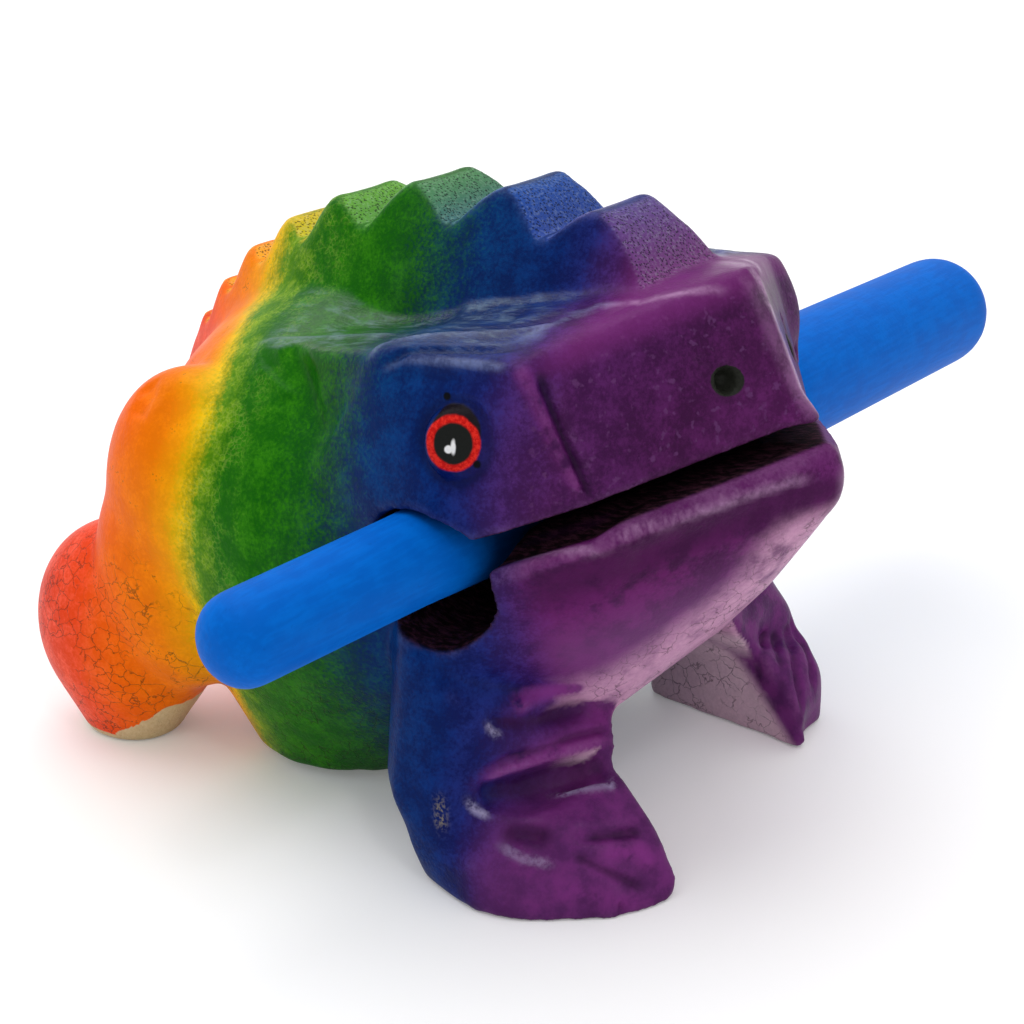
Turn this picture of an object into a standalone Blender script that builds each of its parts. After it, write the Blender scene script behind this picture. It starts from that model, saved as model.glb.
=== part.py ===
"""Frog guiro: a frog carved from one block of wood, with a toothed crest to scrape.

Its beater, a turned stick, is stored in a bore through the head. Units are metres. +Z is up,
the frog looks along -Y, and the floor that it stands on is Z = 0. Sizes are given from the frog's
middle plane, which stands to the right of the origin because the stick reaches further to the left.
"""
import math

import bmesh
import bpy
from mathutils import Matrix, Vector
from mathutils.bvhtree import BVHTree

MM = 0.001

# The origin is on the floor under the middle of the whole object, stick included
ORIGIN_SHIFT = -0.9 * MM

# Head above the mouth: two broad facets meet in a ridge down the snout
SNOUT_REACH = 46.6 * MM
SNOUT_FOOT = 53.0 * MM
SNOUT_TOP_REACH = 38.4 * MM
SNOUT_TOP = 69.5 * MM
CHEEK_HALF = 24.0 * MM
CHEEK_REACH = 33.0 * MM
CHEEK_FOOT = 47.4 * MM
BROW_HALF = 27.2 * MM
BROW_REACH = 26.2 * MM
BROW_TOP = 63.5 * MM
BROW_BACK = 8.0 * MM
FOREHEAD_BULGE = 2.4 * MM
HEAD_HALF = 32.8 * MM

# Lower jaw, which juts past the snout and runs down into the chest
CHIN_JUT = 4.4 * MM
CHIN_TOP = 50.6 * MM
CHIN_FOOT = 45.6 * MM
KEEL_REACH = 42.6 * MM
KEEL_HEIGHT = 32.6 * MM
LIP_JUT = 2.8 * MM
LIP_HEIGHT = 44.6 * MM
JAW_HALF = 30.8 * MM
CHEST_REACH = 29.6 * MM
CHEST_HALF = 13.5 * MM
CHEST_HEIGHT = 18.0 * MM

# Bore for the stick, drilled by hand a little askew, and the mouth slit that runs forward from it
BORE_RADIUS = 8.4 * MM
BORE_BACK = 15.9 * MM
BORE_HEIGHT = 37.8 * MM
BORE_LEFT_DRIFT = 3.0 * MM
BORE_LEFT_RISE = 2.3 * MM
MOUTH_GAP = 4.5 * MM
MOUTH_RISE = math.radians(22.0)
MOUTH_LIFT = 1.0 * MM

# Trunk and neck
TRUNK_HALF_WIDTH = 34.0 * MM
TRUNK_HALF_LENGTH = 37.0 * MM
TRUNK_HALF_HEIGHT = 31.0 * MM
TRUNK_CENTRE = 9.0 * MM
TRUNK_HEIGHT = 32.0 * MM
BELLY_HALF_WIDTH = 23.0 * MM
BELLY_HALF_LENGTH = 17.5 * MM
BELLY_CENTRE = 13.0 * MM
BELLY_HEIGHT = 1.2 * MM
NECK_HALF_WIDTH = 31.5 * MM
NECK_HALF_LENGTH = 22.0 * MM
NECK_HALF_HEIGHT = 23.0 * MM

# Crest, whose ridge follows an ellipse seen from the side
CREST_CENTRE = 8.0 * MM
CREST_BASE = 25.4 * MM
CREST_LENGTH = 62.0 * MM
CREST_RISE = 50.5 * MM
CREST_HALF = 6.0 * MM
CREST_TAIL_HALF = 1.2 * MM
CREST_FLARE = 0.45
CREST_ROOT = 14.0 * MM
NOTCH_DEPTH = 5.4 * MM
TOOTH_PLACES = (-21.4 * MM, -9.2 * MM, 4.3 * MM, 16.5 * MM, 25.8 * MM, 34.0 * MM, 40.2 * MM, 44.8 * MM)
TOOTH_ROUNDNESS = 1.5

# Front legs: which side, how far the toe reaches, where the inner edge of the sole lies, and how far
# the shin reaches
FRONT_FEET = (
    (-1.0, 42.0 * MM, 19.8 * MM, 24.0 * MM),
    (1.0, 39.8 * MM, 21.6 * MM, 28.0 * MM),
)
FOOT_OUTER = 35.0 * MM
HEEL_BACK = 13.5 * MM
TOE_HEIGHT = 6.5 * MM
ANKLE_HEIGHT = 12.5 * MM
ARM_OUTER = 34.0 * MM
ARM_BACK = 11.0 * MM
ARM_TOP = 30.0 * MM

# Hind legs: each is a thigh and a foot, as places and half sizes of rounded lumps
THIGH_PLACE = (24.0 * MM, 24.5 * MM, 36.0 * MM)
THIGH_SIZE = (10.0 * MM, 13.5 * MM, 17.0 * MM)
HIND_FOOT_PLACE = (24.5 * MM, 39.2 * MM, 15.0 * MM)
HIND_FOOT_SIZE = (11.0 * MM, 13.4 * MM, 14.6 * MM)
HIND_SOLE_PLACE = (25.0 * MM, 39.8 * MM)
HIND_SOLE_SIZE = (4.8 * MM, 5.6 * MM)
SHIN_PLACE = (24.2 * MM, 28.9 * MM, 25.5 * MM)
SHIN_SIZE = (10.3 * MM, 11.5 * MM, 17.0 * MM)

# Eyes and nostrils
EYE_REACH = 20.2 * MM
EYE_HEIGHT = 54.4 * MM
EYE_RADIUS = 3.9 * MM
EYE_BULGE = 0.9 * MM
EYE_OUT = 0.86
EYE_FORWARD = 0.42
EYE_UP = 0.22
NOSTRIL_HALF = 7.3 * MM
NOSTRIL_HEIGHT = 58.3 * MM
NOSTRIL_RADIUS = 1.5 * MM

# Gouge cuts: a round blade that sinks in, runs along and lifts out again
GOUGE_STEPS = 6
GOUGE_START = 0.35
GOUGE_LIFT = 0.25
GOUGE_STAND_OFF = 100.0 * MM
# Across each front leg and between the toes: start and end as (x, z) seen from the front, then the radius
LEG_GOUGES = (
    ((16.5, 19.2), (26.5, 19.6), 1.3),
    ((20.5, 13.0), (30.0, 11.6), 1.9),
    ((24.0, 6.2), (19.0, 1.0), 1.1),
    ((26.5, 8.4), (18.0, 8.2), 0.9),
)
BROW_LINE_DROP = 3.2 * MM
BROW_LINE_RADIUS = 1.0 * MM

# How finely the round shapes are made
EGG_AROUND = 28
EGG_ALONG = 16
OVAL_POINTS = 20
BORE_SIDES = 40
EYE_SIDES = 24

# Finish of the carving
SOLE_DEPTH = 2.0 * MM
CARVE_STEP = 0.65 * MM
SANDING_PASSES = 6
BODY_SHARE = 0.045

# Stick
SEAT_CLEARANCE = 0.35 * MM
STICK_THICK_RADIUS = 8.55 * MM
STICK_SWELL_LENGTH = 7.0 * MM
STICK_THIN_RADIUS = 5.1 * MM
STICK_TAPER = 0.2 * MM
STICK_RIGHT_REACH = 61.0 * MM
STICK_LEFT_REACH = 98.5 * MM
STICK_TIP_ROUND = 0.8
STICK_LEAN_BACK = 0.35
STICK_SIDES = 32
TIP_STEPS = 7

WOOD_GREEN = (0.05, 0.25, 0.03, 1.0)
STICK_BLUE = (0.0, 0.13, 0.62, 1.0)


def clear_scene():
    for item in list(bpy.data.objects):
        bpy.data.objects.remove(item, do_unlink=True)


def collection(name):
    group = bpy.data.collections.new(name)
    bpy.context.scene.collection.children.link(group)
    return group


def paint(name, colour, roughness):
    material = bpy.data.materials.new(name)
    material.use_nodes = True
    shader = material.node_tree.nodes["Principled BSDF"]
    shader.inputs["Base Color"].default_value = colour
    shader.inputs["Roughness"].default_value = roughness
    shader.inputs["Metallic"].default_value = 0.0
    return material


def new_object(name, shape, group):
    mesh = bpy.data.meshes.new(name)
    shape.to_mesh(mesh)
    shape.free()
    item = bpy.data.objects.new(name, mesh)
    group.objects.link(item)
    return item


def gather(shapes):
    whole = bmesh.new()
    for shape in shapes:
        mesh = bpy.data.meshes.new("mass")
        shape.to_mesh(mesh)
        shape.free()
        whole.from_mesh(mesh)
        bpy.data.meshes.remove(mesh)
    return whole


def surface(shapes):
    """The outside of the blocks, for placing cuts on it."""
    corners = []
    faces = []
    for shape in shapes:
        shape.verts.ensure_lookup_table()
        first = len(corners)
        corners += [vert.co.copy() for vert in shape.verts]
        faces += [[first + vert.index for vert in face.verts] for face in shape.faces]
    return BVHTree.FromPolygons(corners, faces)


def mirrored(points):
    """Adds the points on the frog's left to those given on its right."""
    return points + [(-x, y, z) for x, y, z in points if x]


def block(points):
    """A chisel-cut block: the convex hull of its corners."""
    shape = bmesh.new()
    corners = [shape.verts.new(point) for point in points]
    hull = bmesh.ops.convex_hull(shape, input=corners)
    spare = {part for part in hull["geom_interior"] if isinstance(part, bmesh.types.BMVert)}
    bmesh.ops.delete(shape, geom=list(spare), context="VERTS")
    bmesh.ops.recalc_face_normals(shape, faces=shape.faces)
    shape.verts.index_update()
    return shape


def egg_points(place, size, around=EGG_AROUND, along=EGG_ALONG):
    shape = bmesh.new()
    bmesh.ops.create_uvsphere(shape, u_segments=around, v_segments=along, radius=1.0)
    points = [tuple(p + s * c for p, s, c in zip(place, size, vert.co)) for vert in shape.verts]
    shape.free()
    return points


def oval(place, size):
    """Points on a level ellipse."""
    turns = [2.0 * math.pi * index / OVAL_POINTS for index in range(OVAL_POINTS)]
    return [(place[0] + size[0] * math.cos(turn), place[1] + size[1] * math.sin(turn), place[2]) for turn in turns]


def gouge(wood, start, end, aim, radius):
    """A round gouge's cut along the wood from start to end, seen in the direction aim."""
    start = Vector(start)
    end = Vector(end)
    aim = Vector(aim).normalized()
    balls = []
    for index in range(GOUGE_STEPS + 1):
        share = index / GOUGE_STEPS
        spot = start.lerp(end, share)
        hit = wood.ray_cast(spot - aim * GOUGE_STAND_OFF, aim)[0]
        if hit is None:
            continue
        size = radius * (GOUGE_START + (1.0 - GOUGE_START) * math.sin(math.pi * share))
        balls.append(egg_points(hit - aim * size * GOUGE_LIFT, (size, size, size), 8, 6))
    return [block(first + second) for first, second in zip(balls, balls[1:])]


def head():
    """Head above the mouth, from the ridge down the snout back to the bore."""
    jowl_reach = CHEEK_REACH - 8.0 * MM
    bore_top = BORE_HEIGHT + BORE_RADIUS
    return block(mirrored([
        # The ridge where the two snout facets meet, and the flat top behind it
        (0.0, -SNOUT_REACH, SNOUT_FOOT),
        (0.0, -SNOUT_TOP_REACH, SNOUT_TOP),
        (-2.5 * MM, -SNOUT_TOP_REACH + 1.0 * MM, SNOUT_TOP - 2.4 * MM),
        (0.0, -BROW_BACK, BROW_TOP - 0.5 * MM),
        # The outer edge of each snout facet, from the lip up to the brow
        (-CHEEK_HALF, -CHEEK_REACH, CHEEK_FOOT),
        (-BROW_HALF, -BROW_REACH, BROW_TOP),
        (-BROW_HALF / 2.0, -BROW_REACH - 5.6 * MM, BROW_TOP + FOREHEAD_BULGE),
        (-BROW_HALF - 1.2 * MM, -BROW_BACK, BROW_TOP - 1.4 * MM),
        # The cheek, which is widest over the bore
        (-HEAD_HALF, -BORE_BACK - 2.0 * MM, bore_top),
        (-HEAD_HALF + 1.0 * MM, -BROW_BACK, bore_top),
        (-HEAD_HALF + 3.0 * MM, 1.0 * MM, bore_top),
        (-HEAD_HALF + 2.4 * MM, -jowl_reach, CHEEK_FOOT - 2.8 * MM),
        (-HEAD_HALF + 2.4 * MM, -BROW_BACK, BORE_HEIGHT - 4.0 * MM),
        (0.0, -CHEEK_REACH, CHEEK_FOOT - 6.0 * MM),
    ]))


def jaw():
    """Lower jaw and throat, down to the chest between the front legs."""
    lip_reach = CHEEK_REACH + LIP_JUT
    return block(mirrored([
        # The point of the chin and the keel under it
        (0.0, -SNOUT_REACH - CHIN_JUT + 1.0 * MM, CHIN_TOP),
        (0.0, -SNOUT_REACH - CHIN_JUT, CHIN_TOP - 2.0 * MM),
        (0.0, -SNOUT_REACH - CHIN_JUT, CHIN_FOOT),
        (0.0, -KEEL_REACH, KEEL_HEIGHT),
        (0.0, -CHEST_REACH + 2.5 * MM, CHEST_HEIGHT - 1.8 * MM),
        # The lip, back to the corner of the mouth
        (-CHEEK_HALF, -lip_reach, LIP_HEIGHT),
        (-CHEEK_HALF / 2.0, -lip_reach - 7.6 * MM, LIP_HEIGHT + 3.0 * MM),
        (-JAW_HALF, -lip_reach + 10.0 * MM, LIP_HEIGHT - 2.6 * MM),
        # The side of the throat, which draws in to the chest
        (-CHEEK_HALF + 4.0 * MM, -lip_reach + 3.4 * MM, CHEST_HEIGHT + 11.0 * MM),
        (-CHEST_HALF, -CHEST_REACH, CHEST_HEIGHT),
        (-JAW_HALF, -BORE_BACK - 2.0 * MM, CHEST_HEIGHT + 8.0 * MM),
        (-JAW_HALF + 1.0 * MM, -ARM_BACK, CHEST_HEIGHT + 4.0 * MM),
        (-JAW_HALF, -ARM_BACK, LIP_HEIGHT - 3.0 * MM),
    ]))


def trunk():
    place = (0.0, TRUNK_CENTRE, TRUNK_HEIGHT)
    size = (TRUNK_HALF_WIDTH, TRUNK_HALF_LENGTH, TRUNK_HALF_HEIGHT)
    belly = oval((0.0, BELLY_CENTRE, BELLY_HEIGHT), (BELLY_HALF_WIDTH, BELLY_HALF_LENGTH))
    return block(egg_points(place, size) + belly)


def neck():
    place = (0.0, -BROW_BACK / 2.0, BORE_HEIGHT + 2.0 * MM)
    return block(egg_points(place, (NECK_HALF_WIDTH, NECK_HALF_LENGTH, NECK_HALF_HEIGHT)))


def ridge_height(y):
    share = min(1.0, abs(y + CREST_CENTRE) / CREST_LENGTH)
    return CREST_BASE + CREST_RISE * math.sqrt(1.0 - share * share)


def ridge_half(y):
    start = TOOTH_PLACES[3]
    end = TOOTH_PLACES[-1]
    share = min(1.0, max(0.0, (y - start) / (end - start)))
    return CREST_HALF + (CREST_TAIL_HALF - CREST_HALF) * share


def crest_point(y, z):
    half = ridge_half(y) + CREST_FLARE * (ridge_height(y) - z)
    return (-half, y, z)


def tooth(front, place, back):
    """One tooth: its outline from the side, spread to the slanting sides of the crest."""
    top = ridge_height(place)
    corners = []
    for edge in (front, back):
        valley = ridge_height(edge) - NOTCH_DEPTH
        for share in (0.0, 0.25, 0.5, 0.75, 1.0):
            y = place + (edge - place) * share
            z = top + (valley - top) * share ** TOOTH_ROUNDNESS
            corners.append(crest_point(y, z))
        corners.append(crest_point(edge, ridge_height(edge) - CREST_ROOT))
    return block(mirrored(corners))


def teeth():
    places = TOOTH_PLACES
    count = len(places)
    edges = [0.5 * (places[index] + places[index + 1]) for index in range(count - 1)]
    edges.insert(0, 2.0 * places[0] - edges[0] - 2.0 * MM)
    edges.append(2.0 * places[-1] - edges[-1])
    return [tooth(edges[index], places[index], edges[index + 1]) for index in range(count)]


def front_leg(side, toe_reach, inner, shin_reach):
    """A foot turned a little inward, and the arm that rises from it to the cheek."""
    toe_inner = inner - 2.0 * MM
    foot = [
        # Outline of the sole, from the heel round the toes; it runs below the floor and is cut there
        (inner, -HEEL_BACK, -SOLE_DEPTH),
        (inner, -toe_reach + 5.0 * MM, -SOLE_DEPTH),
        (toe_inner, -toe_reach + 1.0 * MM, -SOLE_DEPTH),
        (toe_inner, -toe_reach, 2.5 * MM),
        (toe_inner + 4.0 * MM, -toe_reach, -SOLE_DEPTH),
        (toe_inner + 9.0 * MM, -toe_reach + 3.0 * MM, -SOLE_DEPTH),
        (FOOT_OUTER - 2.5 * MM, -toe_reach + 10.0 * MM, -SOLE_DEPTH),
        (FOOT_OUTER - 0.8 * MM, -toe_reach + 16.5 * MM, -SOLE_DEPTH),
        (FOOT_OUTER - 3.5 * MM, -HEEL_BACK - 3.0 * MM, -SOLE_DEPTH),
        (FOOT_OUTER - 7.0 * MM, -HEEL_BACK, -SOLE_DEPTH),
        # Top of the toes and of the heel
        (toe_inner, -toe_reach + 2.5 * MM, TOE_HEIGHT + 0.5 * MM),
        (toe_inner + 8.0 * MM, -toe_reach + 6.0 * MM, TOE_HEIGHT + 2.0 * MM),
        (FOOT_OUTER, -toe_reach + 17.5 * MM, TOE_HEIGHT - 0.5 * MM),
        (FOOT_OUTER - 1.5 * MM, -HEEL_BACK - 1.5 * MM, TOE_HEIGHT - 1.5 * MM),
        (FOOT_OUTER - 4.0 * MM, -toe_reach + 20.0 * MM, ANKLE_HEIGHT),
        (toe_inner - 1.0 * MM, -toe_reach + 8.5 * MM, ANKLE_HEIGHT + 0.5 * MM),
        (inner, -HEEL_BACK, TOE_HEIGHT),
    ]
    arm = [
        # Inside the foot
        (inner + 2.0 * MM, -HEEL_BACK - 1.0 * MM, 3.0 * MM),
        (FOOT_OUTER - 2.0 * MM, -HEEL_BACK - 1.5 * MM, 3.5 * MM),
        (FOOT_OUTER - 0.5 * MM, -HEEL_BACK - 8.0 * MM, 5.0 * MM),
        # Instep and shin
        (toe_inner - 1.0 * MM, -toe_reach + 9.0 * MM, ANKLE_HEIGHT),
        (FOOT_OUTER - 4.0 * MM, -HEEL_BACK - 8.5 * MM, ANKLE_HEIGHT - 1.0 * MM),
        (CHEST_HALF, -CHEST_REACH - 0.8 * MM, CHEST_HEIGHT + 1.0 * MM),
        (FOOT_OUTER - 8.5 * MM, -shin_reach, CHEST_HEIGHT + 2.0 * MM),
        (JAW_HALF + 0.6 * MM, -ARM_BACK - 9.0 * MM, CHEST_HEIGHT + 7.0 * MM),
        # Upper arm, up to the bore
        (ARM_OUTER, -ARM_BACK - 2.0 * MM, ANKLE_HEIGHT - 1.5 * MM),
        (ARM_OUTER - 2.5 * MM, -ARM_BACK + 1.0 * MM, ANKLE_HEIGHT - 0.5 * MM),
        (JAW_HALF + 0.8 * MM, -ARM_BACK - 2.0 * MM, ARM_TOP),
        (JAW_HALF - 1.5 * MM, -ARM_BACK + 1.0 * MM, ARM_TOP),
        (CHEST_HALF, -ARM_BACK + 1.0 * MM, CHEST_HEIGHT + 6.0 * MM),
    ]
    return [block([(side * x, y, z) for x, y, z in points]) for points in (foot, arm)]


def hind_leg(side):
    sole = oval((side * HIND_SOLE_PLACE[0], HIND_SOLE_PLACE[1], -SOLE_DEPTH), HIND_SOLE_SIZE)
    pieces = []
    for place, size, extra in (
        (THIGH_PLACE, THIGH_SIZE, []),
        (HIND_FOOT_PLACE, HIND_FOOT_SIZE, sole),
        (SHIN_PLACE, SHIN_SIZE, []),
    ):
        pieces.append(block(egg_points((side * place[0], place[1], place[2]), size) + extra))
    return pieces


def shoulder(side):
    """The pointed facet carved behind each brow."""
    points = [
        (BROW_HALF + 1.3 * MM, -BROW_BACK, BROW_TOP - 2.0 * MM),
        (BROW_HALF - 6.5 * MM, BROW_BACK + 9.0 * MM, BROW_TOP - 7.2 * MM),
        (BROW_HALF - 0.2 * MM, -1.0 * MM, BROW_TOP - 9.8 * MM),
        (HEAD_HALF - 3.0 * MM, -BROW_BACK, BROW_TOP - 14.0 * MM),
        (8.0 * MM, BROW_BACK, BROW_TOP - 16.0 * MM),
        (8.0 * MM, -BROW_BACK, BROW_TOP - 16.0 * MM),
        (8.0 * MM, -BROW_BACK, BROW_TOP - 1.5 * MM),
    ]
    return block([(side * x, y, z) for x, y, z in points])


def eye(wood, side):
    """A low dome let into the cheek, facing out and a little forward."""
    outward = Vector((side * EYE_OUT, -EYE_FORWARD, EYE_UP)).normalized()
    spot = Vector((0.0, -EYE_REACH, EYE_HEIGHT))
    hit = wood.ray_cast(spot + Vector((side, 0.0, 0.0)) * GOUGE_STAND_OFF, Vector((-side, 0.0, 0.0)))[0]
    shape = bmesh.new()
    bmesh.ops.create_uvsphere(shape, u_segments=EYE_SIDES, v_segments=EYE_SIDES // 2, radius=1.0)
    bmesh.ops.scale(shape, vec=(EYE_RADIUS, EYE_RADIUS, EYE_BULGE), verts=shape.verts)
    bmesh.ops.rotate(shape, matrix=outward.to_track_quat("Z", "Y").to_matrix(), verts=shape.verts)
    bmesh.ops.translate(shape, vec=hit, verts=shape.verts)
    return shape


def leg_gouges(wood, side):
    cuts = []
    for start, end, radius in LEG_GOUGES:
        first = (side * start[0] * MM, 0.0, start[1] * MM)
        last = (side * end[0] * MM, 0.0, end[1] * MM)
        cuts += gouge(wood, first, last, (0.0, 1.0, 0.0), radius * MM)
    return cuts


def face_gouges(wood, side):
    """The line under each brow, and the nostrils."""
    first = (0.0, -BROW_BACK, BROW_TOP - BROW_LINE_DROP)
    last = (0.0, -BROW_REACH + 1.0 * MM, BROW_TOP - BROW_LINE_DROP + 0.6 * MM)
    cuts = gouge(wood, first, last, (-side, 0.0, 0.0), BROW_LINE_RADIUS)
    spot = Vector((side * NOSTRIL_HALF, -GOUGE_STAND_OFF, NOSTRIL_HEIGHT))
    hit = wood.ray_cast(spot, Vector((0.0, 1.0, 0.0)))[0]
    cuts.append(block(egg_points(hit, (NOSTRIL_RADIUS, NOSTRIL_RADIUS, NOSTRIL_RADIUS), 16, 10)))
    return cuts


def cutter(name, shape, group, middle):
    item = new_object(name, shape, group)
    item.parent = middle
    item.hide_render = True
    item.display_type = "WIRE"
    return item


def floor_cutter(group, middle):
    """A slab whose top is the floor."""
    reach = 4.0 * TRUNK_HALF_LENGTH
    depth = 4.0 * SOLE_DEPTH
    shape = bmesh.new()
    bmesh.ops.create_cube(shape, size=1.0)
    bmesh.ops.scale(shape, vec=(reach, reach, depth), verts=shape.verts)
    bmesh.ops.translate(shape, vec=(0.0, 0.0, -depth / 2.0), verts=shape.verts)
    return cutter("floor_cut", shape, group, middle)


def bore_point(x):
    """The middle of the bore at a distance x from the frog's middle."""
    share = (x + HEAD_HALF) / (2.0 * HEAD_HALF)
    return Vector((x, -BORE_BACK - BORE_LEFT_DRIFT * share, BORE_HEIGHT + BORE_LEFT_RISE * share))


def bore_cutter(group, middle):
    shape = bmesh.new()
    bmesh.ops.create_cone(shape, cap_ends=True, segments=BORE_SIDES, radius1=BORE_RADIUS, radius2=BORE_RADIUS,
                          depth=4.0 * HEAD_HALF)
    along = bore_point(HEAD_HALF) - bore_point(-HEAD_HALF)
    bmesh.ops.rotate(shape, matrix=along.to_track_quat("Z", "Y").to_matrix(), verts=shape.verts)
    bmesh.ops.translate(shape, vec=bore_point(0.0), verts=shape.verts)
    return cutter("bore_cut", shape, group, middle)


def mouth_cutter(group, middle):
    """A slab that runs from the bore out between the lips."""
    shape = bmesh.new()
    bmesh.ops.create_cube(shape, size=1.0)
    length = 2.0 * SNOUT_REACH
    bmesh.ops.scale(shape, vec=(4.0 * HEAD_HALF, length, MOUTH_GAP), verts=shape.verts)
    bmesh.ops.translate(shape, vec=(0.0, -length / 2.0, 0.0), verts=shape.verts)
    bmesh.ops.rotate(shape, matrix=Matrix.Rotation(-MOUTH_RISE, 3, "X"), verts=shape.verts)
    bmesh.ops.translate(shape, vec=(0.0, -BORE_BACK, BORE_HEIGHT + MOUTH_LIFT), verts=shape.verts)
    return cutter("mouth_cut", shape, group, middle)


def carve_body(group, tools, middle):
    masses = [head(), jaw(), trunk(), neck()] + teeth()
    for side, toe_reach, inner, shin_reach in FRONT_FEET:
        masses += front_leg(side, toe_reach, inner, shin_reach)
        masses += hind_leg(side)
        masses.append(shoulder(side))
    wood = surface(masses)
    masses += [eye(wood, side) for side in (-1.0, 1.0)]
    cuts = []
    for side in (-1.0, 1.0):
        cuts += leg_gouges(wood, side)
        cuts += face_gouges(wood, side)
    body = new_object("frog_body", gather(masses), group)
    body.parent = middle

    gouges = body.modifiers.new("gouges", "BOOLEAN")
    gouges.operation = "DIFFERENCE"
    gouges.solver = "EXACT"
    gouges.use_self = True
    gouges.object = cutter("gouge_cuts", gather(cuts), tools, middle)
    carving = body.modifiers.new("carving", "REMESH")
    carving.mode = "VOXEL"
    carving.voxel_size = CARVE_STEP
    sanding = body.modifiers.new("sanding", "SMOOTH")
    sanding.factor = 0.5
    sanding.iterations = SANDING_PASSES
    thinning = body.modifiers.new("thinning", "DECIMATE")
    thinning.ratio = BODY_SHARE
    thinning.use_collapse_triangulate = True
    for tool in (floor_cutter(tools, middle), bore_cutter(tools, middle), mouth_cutter(tools, middle)):
        cut = body.modifiers.new(tool.name, "BOOLEAN")
        cut.operation = "DIFFERENCE"
        cut.solver = "EXACT"
        cut.object = tool
    return body


def stick_axis():
    """The stick's middle at the right and left mouths of the bore.

    It is pushed in from the left until it fills the left mouth. That end is the heavier one, so
    it lifts the thin end against the top of the right mouth.
    """
    play = BORE_RADIUS - STICK_THIN_RADIUS - STICK_TAPER - SEAT_CLEARANCE
    lean = Vector((0.0, STICK_LEAN_BACK, 1.0)).normalized()
    return bore_point(-HEAD_HALF) + lean * play, bore_point(HEAD_HALF)


def tip(radius, end, outward):
    """The rounded end of the stick, from its rim to its middle, as (radius, place) pairs."""
    depth = radius * STICK_TIP_ROUND
    pairs = []
    for index in range(TIP_STEPS):
        turn = math.pi / 2.0 * index / TIP_STEPS
        pairs.append((radius * math.cos(turn), end - outward * depth * (1.0 - math.sin(turn))))
    pairs.append((0.0, end))
    return pairs


def turned_stick(group, middle):
    right, left = stick_axis()
    axis = left - right
    start = -(STICK_RIGHT_REACH - HEAD_HALF)
    finish = axis.length + STICK_LEFT_REACH - HEAD_HALF
    thick = tip(STICK_THICK_RADIUS, finish, 1.0)
    thin = tip(STICK_THIN_RADIUS, start, -1.0)
    shaft = [
        (STICK_THICK_RADIUS, axis.length + STICK_SWELL_LENGTH),
        (BORE_RADIUS - SEAT_CLEARANCE, axis.length),
        (STICK_THIN_RADIUS + STICK_TAPER, 0.0),
    ]
    outline = thick[::-1] + shaft + thin
    shape = bmesh.new()
    spots = [shape.verts.new((radius, 0.0, place)) for radius, place in outline]
    for first, second in zip(spots, spots[1:]):
        shape.edges.new((first, second))
    stick = new_object("stick", shape, group)
    turning = stick.modifiers.new("turning", "SCREW")
    turning.axis = "Z"
    turning.angle = 2.0 * math.pi
    turning.steps = STICK_SIDES
    turning.render_steps = STICK_SIDES
    turning.use_merge_vertices = True
    turning.merge_threshold = 0.00001
    stick.parent = middle
    stick.location = right
    stick.rotation_euler = axis.to_track_quat("Z", "Y").to_euler()
    return stick


def main():
    clear_scene()
    group = collection("frog_guiro")
    tools = collection("cutters")
    middle = bpy.data.objects.new("frog_middle", None)
    middle.location = ((STICK_RIGHT_REACH - STICK_LEFT_REACH) / 2.0, ORIGIN_SHIFT, 0.0)
    group.objects.link(middle)
    body = carve_body(group, tools, middle)
    body.data.materials.append(paint("painted_wood", WOOD_GREEN, 0.35))
    stick = turned_stick(group, middle)
    stick.data.materials.append(paint("blue_paint", STICK_BLUE, 0.4))


main()
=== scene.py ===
"""Frog guiro: the looks of a painted, lacquered wooden frog and of its loose stick."""
import math

import bmesh
import bpy
import numpy as np
from mathutils import Matrix, Vector, kdtree


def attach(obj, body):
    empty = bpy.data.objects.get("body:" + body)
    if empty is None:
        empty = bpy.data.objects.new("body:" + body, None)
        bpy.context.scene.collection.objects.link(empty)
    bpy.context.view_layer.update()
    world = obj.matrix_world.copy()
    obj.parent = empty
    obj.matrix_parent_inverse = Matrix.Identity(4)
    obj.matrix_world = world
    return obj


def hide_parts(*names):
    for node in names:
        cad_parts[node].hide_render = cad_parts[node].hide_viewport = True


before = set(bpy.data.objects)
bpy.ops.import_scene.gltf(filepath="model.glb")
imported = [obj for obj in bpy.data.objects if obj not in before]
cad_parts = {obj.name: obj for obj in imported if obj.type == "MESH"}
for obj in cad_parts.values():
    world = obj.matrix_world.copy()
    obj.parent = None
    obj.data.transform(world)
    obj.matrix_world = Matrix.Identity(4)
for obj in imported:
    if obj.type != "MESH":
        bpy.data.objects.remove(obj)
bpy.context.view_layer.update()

# Carved frog. One block of soft hardwood, sawn, cut with gouges and sanded, then sprayed in rainbow bands.
# The solid from the frame is remeshed finely, its round parts are sanded smooth and its chisel lines are cut.
# Places below are in millimetres from the frog's middle: x to its left, y to its rump, z up.
frog_middle = Vector((-0.01875, -0.0009, 0.0))
millimetre = 0.001
voxel = 0.5 * millimetre
slit_middle = (0.0, -15.9, 38.8)
eye_middle = (30.9, -20.4, 54.6)
eye_facing = (0.86, -0.42, 0.22)

frog = bpy.data.objects.new("carved_frog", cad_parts["frog_body"].data.copy())
bpy.context.scene.collection.objects.link(frog)


def pick(piece):
    """Selects one piece alone."""
    bpy.ops.object.select_all(action="DESELECT")
    piece.select_set(True)
    bpy.context.view_layer.objects.active = piece


def on_all(piece, operator, **settings):
    """Runs an edit-mode operator on the whole of a piece."""
    pick(piece)
    bpy.ops.object.mode_set(mode="EDIT")
    bpy.ops.mesh.select_all(action="SELECT")
    operator(**settings)
    bpy.ops.object.mode_set(mode="OBJECT")


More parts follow.
